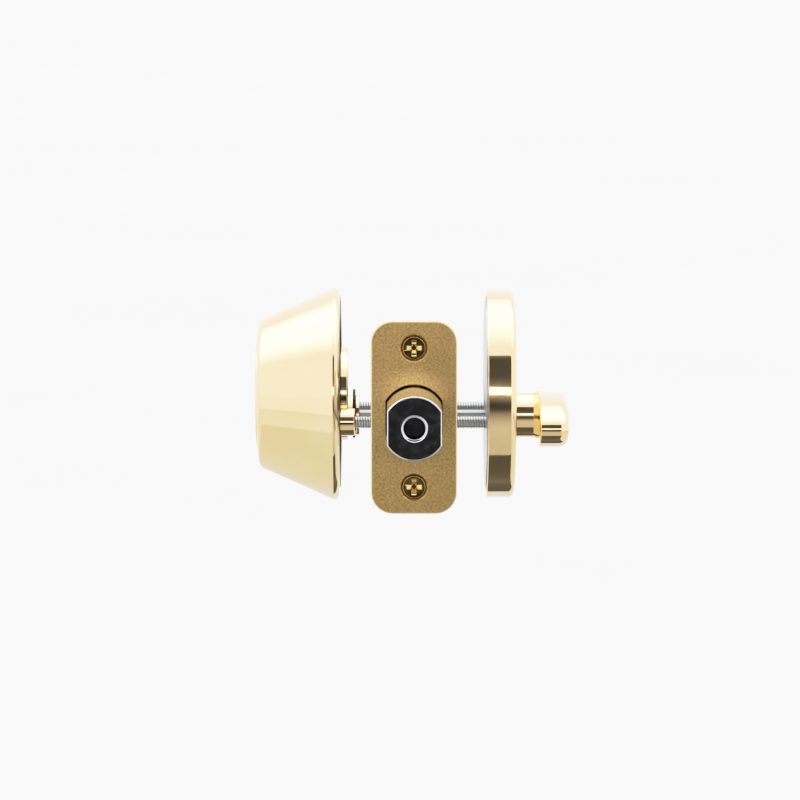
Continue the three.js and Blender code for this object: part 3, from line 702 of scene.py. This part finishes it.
def bolt():
    """The bolt: a chromed round bar with two flats, a bright rim and a countersunk hole in its end."""
    radius, flat, rim = 9.4, 7.95, 0.42
    tip = BOLT_LOW.y
    bar = plate("bolt_bar", double_d(radius, flat, 64), [], "Y", tip, BOLT_HIGH.y, rim)
    hole, hole_end, sink_depth = 3.2, tip + 27, 0.55
    cone_base = 5.7
    corners = [
        (0, tip - 1),
        (cone_base, tip - 1),
        (hole, tip + sink_depth, 0.15),
        (hole, hole_end),
        (0, hole_end),
    ]
    slot_half, slot_front = 1.75, tip + 27.8
    right_through = 20
    slot_low = (-slot_half, slot_front, -right_through)
    cut(
        bar,
        turned("hole", corners, "Y", segments=96),
        block("tail_slot", slot_low, (slot_half, BOLT_HIGH.y + 1, right_through)),
        rod("pin_hole", PIN_HOLE, -right_through, right_through, "X", CROSS_PIN),
    )
    stand_for(bar, "bolt", 32)


def saw_pin():
    """The hardened pin that turns inside the bolt when someone tries to saw it."""
    low, high = box("saw_pin")
    stand_for(rod("saw_pin_hardened", 3.0, low.y, high.y, "Y", edge=0.5), "saw_pin")


def tail_cross_pin():
    """The pin through the bolt's end that holds the tail."""
    pin = rod("tail_cross_pin_round", 1.5, PIN_LOW.x, PIN_HIGH.x, "X", CROSS_PIN, edge=0.25)
    stand_for(pin, "tail_cross_pin")


def bolt_tail():
    """The flat bar behind the bolt and the upright fork that the crank's pin works in."""
    low, high = box("bolt_tail")
    fork = BACKSET - THROW / 2
    slot, prong = 2.75, 3.0
    slot_front, slot_rear = fork - slot, fork + slot
    fork_front, fork_rear = slot_front - prong, slot_rear + prong
    slot_floor, bar_top = 3.2, 7
    outline = rounded([
        (low.y, low.z, 0.3),
        (fork_rear, low.z, 1),
        (fork_rear, high.z, 1),
        (slot_rear, high.z, 0.4),
        (slot_rear, slot_floor, 1),
        (slot_front, slot_floor, 1),
        (slot_front, high.z, 0.4),
        (fork_front, high.z, 1),
        (fork_front, bar_top, 1),
        (low.y, bar_top, 0.3),
    ], steps=6)
    hole = circle(CROSS_PIN[1], CROSS_PIN[2], PIN_HOLE)
    tail = plate("bolt_tail_bar", outline, [hole], "X", low.x, high.x, edge=0.2)
    stand_for(tail, "bolt_tail")


def bolt_tube():
    """The rolled tube that guides the bolt, with a flange at the front and a wall at the rear."""
    low, high = box("bolt_tube")
    inner, outer, flange = 9.75, 11.1, 12.6
    sheet_thickness = 1.2
    end = 37.5
    corners = [
        (inner, low.y, 0.2),
        (flange, low.y, 0.3),
        (flange, low.y + sheet_thickness, 0.3),
        (outer, low.y + sheet_thickness, 0.4),
        (outer, end, 0.8),
        (0, end),
        (0, end - sheet_thickness),
        (inner, end - sheet_thickness),
    ]
    tube = turned("bolt_tube_rolled", corners, "Y", segments=128)
    join(tube, block("tab", (-TAB_HALF, end - 0.6, TAB_LOW), (TAB_HALF, high.y, TAB_HIGH)))
    seam_half, seam_bottom = 0.12, -10.75
    seam = block("seam", (-seam_half, low.y + 2.2, -12), (seam_half, end - 1.6, seam_bottom))
    window_top = 7.6
    window_low = (-WINDOW_HALF, end - 3, WINDOW_FLOOR)
    window = block("window", window_low, (WINDOW_HALF, end + 3, window_top))
    cut(tube, window, seam)
    stand_for(soften(tube, 0.08, 40), "bolt_tube")


def case_halves():
    """Two pressed trays, riveted face to face; their open top lets the crank and the fork pass."""
    wall, corner = 1.2, 5.0
    hub_hole, screw_hole, rivet_hole = 6.65, 2.9, 1.3
    beyond_wall = 8
    slot_half, slot_low, slot_high = TAB_HALF + TAB_PLAY, TAB_LOW - TAB_PLAY, TAB_HIGH + TAB_PLAY
    rivets = {node: box(node) for node in ("case_rivet_front", "case_rivet_rear", "case_rivet_upper")}
    for node, side in (("case_exterior_half", -1), ("case_interior_half", 1)):
        low, high = box(node)
        outline = rounded([
            (low.y, low.z),
            (high.y, low.z, corner),
            (high.y, high.z, corner),
            (low.y, high.z),
        ])
        hollow = rounded([
            (low.y + wall, low.z + wall),
            (high.y - wall, low.z + wall, corner - wall),
            (high.y - wall, high.z + PAST),
            (low.y + wall, high.z + PAST),
        ])
        tray = plate(node + "_tray", outline, [], "X", low.x, high.x, edge=0.3)
        inner = sorted((-side, side * (max(abs(low.x), abs(high.x)) - wall)))
        through = sorted((-side, side * beyond_wall))
        holes = [circle(BACKSET, SPINDLE_Z, hub_hole, 72)]
        holes += [circle(BACKSET + s * SCREW_REACH, SPINDLE_Z, screw_hole) for s in (-1, 1)]
        for a, b in rivets.values():
            holes.append(circle((a.y + b.y) / 2, (a.z + b.z) / 2, rivet_hole, 24))
        tools = [plate("hollow", hollow, [], "X", *inner, edge=0.01)]
        tools += [plate("hole", hole, [], "X", *through, edge=0.01) for hole in holes]
        front, past_front = low.y - 1, low.y + 3
        tools.append(block("tab_slot", (-slot_half, front, slot_low), (slot_half, past_front, slot_high)))
        window_low = (-WINDOW_HALF, front, WINDOW_FLOOR)
        tools.append(block("window", window_low, (WINDOW_HALF, past_front, high.z + PAST)))
        cut(tray, *tools)
        stand_for(soften(tray, 0.1, 40), node)
    for node, (low, high) in rivets.items():
        case_rivet(node, low, high)


def case_rivet(node, low, high):
    """A rivet with a rounded head on each side of the case."""
    shank, head, crown, head_height = 1.2, 2.1, 1.9, 0.6
    centre = (0, (low.y + high.y) / 2, (low.z + high.z) / 2)
    corners = [
        (0, low.x),
        (crown, low.x, 0.5),
        (head, low.x + head_height, 0.1),
        (shank, low.x + head_height),
        (shank, high.x - head_height),
        (head, high.x - head_height, 0.1),
        (crown, high.x, 0.5),
        (0, high.x),
    ]
    stand_for(turned(node + "_headed", corners, "X", centre, segments=32, steps=4), node)


# ---------------------------------------------------------------- spindle

def blade_slot(low, high):
    """A tool for the slot that the tailpiece's blade passes through."""
    y, z = 3.35, 1.35
    return block("slot", (low, BACKSET - y, SPINDLE_Z - z), (high, BACKSET + y, SPINDLE_Z + z))


def crank():
    """A hub with two arms that hold the pin working the fork; at rest it leans towards the door's edge."""
    reach = THROW / 2 / math.sin(math.pi / 4)
    lean = 3 * math.pi / 4

    def swung(y, z):
        turned_y = y * math.cos(lean) - z * math.sin(lean)
        turned_z = y * math.sin(lean) + z * math.cos(lean)
        return (turned_y + BACKSET, turned_z + SPINDLE_Z)

    low, high = box("crank")
    hub, arm_base, arm_tip, pin = 6.5, 6.1, 2.7, 2.0
    arm_inner, arm_outer, pin_half = 1.9, 4.1, 4.0
    obj = rod("crank_arms", hub, low.x, high.x, "X", SPINDLE, edge=0.4, segments=96)
    outline = [swung(*p) for p in tapered_oval(0, arm_base, reach, arm_tip, 24)]
    spans = ((arm_inner, arm_outer), (-arm_outer, -arm_inner))
    arms = [plate("arm", outline, [], "X", *span, edge=0.25) for span in spans]
    pin_y, pin_z = swung(reach, 0)
    arms.append(rod("pin", pin, -pin_half, pin_half, "X", (0, pin_y, pin_z)))
    join(obj, *arms)
    cut(obj, blade_slot(low.x - 1, high.x + 1))
    stand_for(soften(obj, 0.1, 40), "crank")


def tailpiece():
    """The flat blade that the thumbturn turns, with a round disc that sits in the plug's socket."""
    low, high = box("tailpiece")
    y, z = 3.2, 1.2
    blade_low = (low.x + 0.4, BACKSET - y, SPINDLE_Z - z)
    bar = block("tailpiece_blade", blade_low, (high.x, BACKSET + y, SPINDLE_Z + z))
    disc, disc_depth = 4.0, 4.4
    join(bar, rod("disc", disc, low.x, low.x + disc_depth, "X", SPINDLE))
    stand_for(soften(bar, 0.25, 40), "tailpiece")


# ---------------------------------------------------------------- interior side

def mounting_plate():
    """The pressed plate behind the rose, with two tapped bosses for the cover's screws."""
    low, high = box("mounting_plate")
    radius, thickness = (high.z - low.z) / 2, 1.7
    hub_hole, screw_hole, boss, tap = 8.6, 2.35, 4.0, 2.2
    screws = [BACKSET + side * SCREW_REACH for side in (-1, 1)]
    covers = [BACKSET + side * COVER_SCREW_REACH for side in (-1, 1)]
    outline = circle(BACKSET, 0, radius, 160)
    holes = [circle(BACKSET, SPINDLE_Z, hub_hole, 72)] + [circle(y, SPINDLE_Z, screw_hole) for y in screws]
    disc = plate("mounting_plate_pressed", outline, holes, "X", low.x, low.x + thickness, edge=0.25)
    join(disc, *[rod("boss", boss, low.x + 0.3, high.x, "X", (0, y, 0), edge=0.3) for y in covers])
    cut(disc, *[rod("tap", tap, low.x - PAST, high.x + PAST, "X", (0, y, 0)) for y in covers])
    stand_for(soften(disc, 0.08, 40), "mounting_plate")


def interior_rose():
    """The round cover inside the room, with a soft edge and a very slightly crowned face."""
    radius = (ROSE_HIGH.z - ROSE_LOW.z) / 2
    rim, face = ROSE_LOW.x, ROSE_HIGH.x
    wall, crown = 1.4, 0.35
    corners = [
        (radius - wall, rim, 0.3),
        (radius, rim, 0.4),
        (radius, face - crown, 2.0),
        (0, face),
        (0, face - wall),
        (radius - wall, face - wall - crown, 1),
    ]
    rose = turned("rose_cover", corners, "X", BORE, segments=192, steps=12)
    spindle_hole, screw_hole, sink_mouth = 7.1, 2.3, 4.5
    tools = [rod("spindle_hole", spindle_hole, rim - PAST, face + PAST, "X", SPINDLE, segments=96)]
    corners = [
        (0, rim),
        (screw_hole, rim),
        (screw_hole, face - 1.9),
        (sink_mouth, face + 0.3),
        (sink_mouth, face + 1),
        (0, face + 1),
    ]
    for side in (-1, 1):
        centre = (0, BACKSET + side * COVER_SCREW_REACH, 0)
        tools.append(turned("sink", corners, "X", centre, segments=64))
    cut(rose, *tools)
    stand_for(rose, "interior_rose", 34)


def cover_screws():
    """Flat-headed machine screws that hold the rose."""
    end, shank, head = 1.7, 1.95, 3.8
    for node in ("cover_screw_front", "cover_screw_rear"):
        low, high = box(node)
        centre = (0, (low.y + high.y) / 2, 0)
        top = high.x - 0.25
        corners = [
            (0, low.x),
            (end, low.x, 0.3),
            (shank, low.x + 2),
            (shank, top - 1.9),
            (head, top - 0.2, 0.15),
            (head, top, 0.1),
            (0, top + 0.2),
        ]
        screw = turned(node + "_flat", corners, "X", centre, segments=64)
        cut(screw, cross_recess("recess", "X", top + 0.15, -1.3, centre))
        stand_for(screw, node, 40)


def mounting_screws():
    """Long machine screws from the mounting plate to the cylinder's lugs."""
    neck, head, crown, head_height = 2.0, 4.0, 2.6, 2.5
    core, crest, pitch = 1.72, 2.1, 0.8
    for node in ("mounting_screw_front", "mounting_screw_rear"):
        low, high = box(node)
        centre = (0, (low.y + high.y) / 2, SPINDLE_Z)
        seat = high.x - head_height
        corners = [
            (0, seat - 1),
            (neck, seat - 1),
            (neck, seat),
            (head, seat, 0.2),
            (head, seat + 1, 0.8),
            (crown, high.x, 0.8),
            (0, high.x),
        ]
        screw = turned(node + "_pan", corners, "X", centre, segments=64)
        cut(screw, cross_recess("recess", "X", high.x, -1.6, centre))
        join(screw, threaded("shank", "X", core, crest, pitch, seat - 0.8, low.x, centre))
        stand_for(screw, node, 40)


def thumbturn():
    """A round neck that flares into an oval grip, rounded towards its domed end."""
    low, high = box("thumbturn")
    half_length, half_width = 19.65, 7.85
    lead = 6.5  # how far the grip's middle lies from the spindle, towards the door's edge
    droop = math.radians(3.9)
    back, side_end = high.x - 10.0, high.x - 4.2

    def level(x, inset, segments=128):
        """The grip's outline at a height x, drawn in by inset."""
        ring = []
        for k in range(segments):
            a = TURN * k / segments
            slope = Vector((math.cos(a) / half_length, math.sin(a) / half_width)).normalized()
            u = half_length * math.cos(a) - inset * slope.x - lead
            v = half_width * math.sin(a) - inset * slope.y
            y = u * math.cos(droop) - v * math.sin(droop)
            z = u * math.sin(droop) + v * math.cos(droop)
            ring.append(placed("X", x, y, z, SPINDLE))
        return ring

    def quarter(steps):
        return [math.pi / 2 * k / steps for k in range(steps + 1)]

    under, round_depth, round_inset = 0.6, 3.0, 2.2
    rings = [level(back + under * (1 - math.cos(a)), under * (1 - math.sin(a))) for a in quarter(6)]
    for a in quarter(12):
        rings.append(level(side_end + round_depth * math.sin(a), round_inset * (1 - math.cos(a))))
    top = side_end + round_depth
    dome_rows = 12
    for k in range(1, dome_rows):
        share = k / dome_rows
        shrink = 1 - share
        ring = level(top + (high.x - top) * (1 - shrink ** 2), round_inset)
        middle = sum(ring, Vector()) / len(ring)
        rings.append([middle + (p - middle) * Vector((1, shrink, shrink)) for p in ring])
    rings.append([placed("X", high.x, -lead * math.cos(droop), -lead * math.sin(droop), SPINDLE)])
    grip = skin("thumbturn_grip", rings)

    end, collar, groove, neck, flare = 6.1, 6.6, 5.7, 6.9, 7.5
    groove_low = low.x + 2.4
    groove_high = groove_low + 1.0
    inside_grip = back + 1.5
    corners = [
        (0, low.x),
        (end, low.x, 0.4),
        (collar, low.x + 1),
        (collar, groove_low),
        (groove, groove_low),
        (groove, groove_high),
        (neck, groove_high),
        (neck, back - 1.3, 0.4),
        (flare, back + 0.2),
        (flare, inside_grip),
        (0, inside_grip),
    ]
    join(grip, turned("neck", corners, "X", SPINDLE, segments=128, steps=6))
    cut(grip, blade_slot(low.x - 1, low.x + 6.8))
    stand_for(grip, "thumbturn", 30)


# ---------------------------------------------------------------- studio

FLOOR_Z = -0.2
TABLE_Z = FLOOR_Z + 0.004
LIFT = 0.001  # keeps one sheet clear of the next
WORLD_RADIANCE = 1.45


def floor():
    """A wide pale floor under the lock."""
    bm = bmesh.new()
    bmesh.ops.create_grid(bm, x_segments=1, y_segments=1, size=40)
    obj = to_object("floor", bm)
    obj.location = (0, 0, FLOOR_Z)
    n = Nodes("floor_paper")
    paper = n.mix(n.span(n.noise(3), 0, 1), (0.96, 0.96, 0.955), (0.94, 0.94, 0.935))
    n.link(paper, n.shader.inputs["Base Color"])
    n.shader.inputs["Roughness"].default_value = 0.9
    n.shader.inputs["Specular IOR Level"].default_value = 0.1
    obj.data.materials.append(n.material)


def glow_material():
    """Light given off by a panel, as strong as the panel's own glow attribute says."""
    material = bpy.data.materials.new("panel")
    material.use_nodes = True
    tree = material.node_tree
    tree.nodes.clear()
    glow = tree.nodes.new("ShaderNodeAttribute")
    glow.attribute_name = "glow"
    emission = tree.nodes.new("ShaderNodeEmission")
    output = tree.nodes.new("ShaderNodeOutputMaterial")
    tree.links.new(glow.outputs["Fac"], emission.inputs["Strength"])
    tree.links.new(emission.outputs["Emission"], output.inputs["Surface"])
    return material


def sheet(name, rows, material):
    """A softbox or flag seen only in reflections; each row is (one end, the other end, radiance)."""
    bm = bmesh.new()
    layer = bm.verts.layers.float.new("glow")
    edge = []
    for first, last, radiance in rows:
        pair = [bm.verts.new(first), bm.verts.new(last)]
        for vert in pair:
            vert[layer] = radiance
        if edge:
            bm.faces.new((edge[0], edge[1], pair[1], pair[0]))
        edge = pair
    mesh = bpy.data.meshes.new(name)
    bm.to_mesh(mesh)
    bm.free()
    obj = bpy.data.objects.new(name, mesh)
    bpy.context.scene.collection.objects.link(obj)
    mesh.materials.append(material)
    obj.visible_camera = False
    obj.visible_diffuse = False
    obj.visible_shadow = False


def panel(name, low_x, high_x, rows, material):
    """A sheet from low_x to high_x whose rows are (y, z, radiance)."""
    sheet(name, [((low_x, y, z), (high_x, y, z), radiance) for y, z, radiance in rows], material)


def seen_at(elevation, distance):
    """The (y, z) of a place seen from the middle of the bore, at an elevation above the way to the camera."""
    angle = math.radians(elevation)
    return BACKSET * MM - distance * math.cos(angle), distance * math.sin(angle)


def white_world():
    """The same white light from every side."""
    world = bpy.data.worlds.new("studio")
    world.use_nodes = True
    background = world.node_tree.nodes["Background"]
    background.inputs["Color"].default_value = (1, 1, 1, 1)
    background.inputs["Strength"].default_value = WORLD_RADIANCE
    bpy.context.scene.world = world


def upper_panels(glow):
    """A softbox overhead, and bands of light and dark in front of the lock."""
    height = 0.8
    overhead = [(0.85, WORLD_RADIANCE), (0.5, 3.2), (0.0, 3.1), (-0.14, 2.4), (-0.25, 1.85), (-0.4, 1.45)]
    panel("overhead_softbox", -1.3, 0.9, [(y, height, radiance) for y, radiance in overhead], glow)

    # Each band's rows are (elevation in degrees, radiance).
    high_flag = [(48.7, 0.2), (44, 0.085), (25, 0.09), (20, 0.15), (16, 0.24), (13.2, 0.4)]
    strip_light = [(13.2, 3.0), (5.1, 3.0)]
    low_flag = [(5.2, 0.42), (0, 0.26), (-2.9, 0.14), (-5, 0.08), (-9.3, 0.068)]
    bolt_flag = [(1, 0.03), (-12, 0.012)]
    bands = (
        ("high_flag", -0.45, 0.55, 1.3, high_flag),
        ("strip_light", -0.45, 0.55, 1.28, strip_light),
        ("low_flag", -0.45, 0.55, 1.26, low_flag),
        ("bolt_flag", -0.06, 0.045, 1.25, bolt_flag),
    )
    for name, low_x, high_x, distance, rows in bands:
        panel(name, low_x, high_x, [(*seen_at(angle, distance), r) for angle, r in rows], glow)


def floor_shade_panels(glow):
    """Two fans on the floor, seen only in reflections, darker than the open floor and darker still under the
    lock: painted shade, with a painted shadow under the lock.

    Their rows are (distance from the bore towards the camera, radiance).
    """
    bore_y = BACKSET * MM
    # The front fan is painted shade on the floor, darkest towards the camera; the fan under the lock is a
    # painted shadow.
    front = [
        (1.3, 0.068), (1.036, 0.085), (0.86, 0.17), (0.735, 0.3), (0.64, 0.37),
        (0.495, 0.52), (0.4, 0.63), (0.33, 0.7), (0.245, 0.68), (0.09, 0.66),
    ]
    under = [(0.111, 0.1), (0.03, 0.12), (-0.005, 0.14), (-0.033, 0.2), (-0.06, 0.14), (-0.142, 0.11)]
    left, left_spread = -0.03, 0.1
    right, right_spread = 0.07, 0.36
    for name, rows, height in (("floor_shade_front", front, TABLE_Z), ("floor_shadow_under", under, TABLE_Z + LIFT)):
        fan = []
        for distance, radiance in rows:
            y, spread = bore_y - distance, abs(distance)
            left_end = (left - left_spread * spread, y, height)
            right_end = (right + right_spread * spread, y, height)
            fan.append((left_end, right_end, radiance))
        sheet(name, fan, glow)


def floor_panels(glow):
    """The floor to the left and the right, seen only in reflections; its rows are (place along Y or X,
    radiance). The sheets are darker than the open floor nearer the lock, with a darker band to the right:
    painted shade.
    """
    bore_y = BACKSET * MM
    height = TABLE_Z - LIFT
    near = [(-1.1, 1.4), (-0.6, 1.3), (-0.31, 1.2), (-0.3, 0.97), (0.5, 0.94)]
    panel("floor_left_near", -0.28, 0.0, [(bore_y + d, height, r) for d, r in near], glow)
    half_depth = 0.5
    sides = (
        ("floor_left_far", [(-1.5, 1.45), (-0.95, 1.25), (-0.6, 1.1), (-0.28, 1.2)]),
        ("floor_right", [(0.0, 0.96), (0.5, 1.1), (0.62, 0.6), (0.78, 0.85), (0.95, 1.3), (1.4, 1.4)]),
    )
    for name, rows in sides:
        ends = [((x, bore_y - half_depth, height), (x, bore_y + half_depth, height), r) for x, r in rows]
        sheet(name, ends, glow)


def studio():
    """The white world and every panel in it."""
    white_world()
    glow = glow_material()
    upper_panels(glow)
    floor_shade_panels(glow)
    floor_panels(glow)


def tone():
    """A camera's response: straight up to the middle tones, with a soft shoulder in the highlights."""
    view = bpy.context.scene.view_settings
    view.view_transform = "Standard"
    view.use_curve_mapping = True
    mapping = view.curve_mapping
    white = 3.0
    mapping.white_level = (white, white, white)
    shoulder = [(0.3, 0.3), (0.65, 0.65), (0.85, 0.765), (1.04, 0.84), (1.3, 0.93), (1.8, 0.975)]
    all_channels = mapping.curves[3]
    for radiance, shown in shoulder:
        all_channels.points.new(radiance / white, shown)
    mapping.update()


def camera():
    """A long lens in front of the faceplate, looking slightly down at it."""
    down, sideways = 6.97, -0.138  # degrees
    data = bpy.data.cameras.new("camera")
    data.sensor_width = 36
    data.lens = 190.1
    data.clip_end = 120
    obj = bpy.data.objects.new("camera", data)
    bpy.context.scene.collection.objects.link(obj)
    obj.location = (-0.0071, -1.235, 0.1563)
    obj.rotation_mode = "XYZ"
    obj.rotation_euler = Euler((math.radians(90 - down), 0, math.radians(sideways)))
    bpy.context.scene.camera = obj


exterior_collar()
guard_ring()
cylinder_housing()
cylinder_plug()
faceplate()
backing_plate()
faceplate_screws()
bolt()
saw_pin()
tail_cross_pin()
bolt_tail()
bolt_tube()
case_halves()
crank()
tailpiece()
mounting_plate()
interior_rose()
cover_screws()
mounting_screws()
thumbturn()
carry_over()
floor()
studio()
tone()
camera()
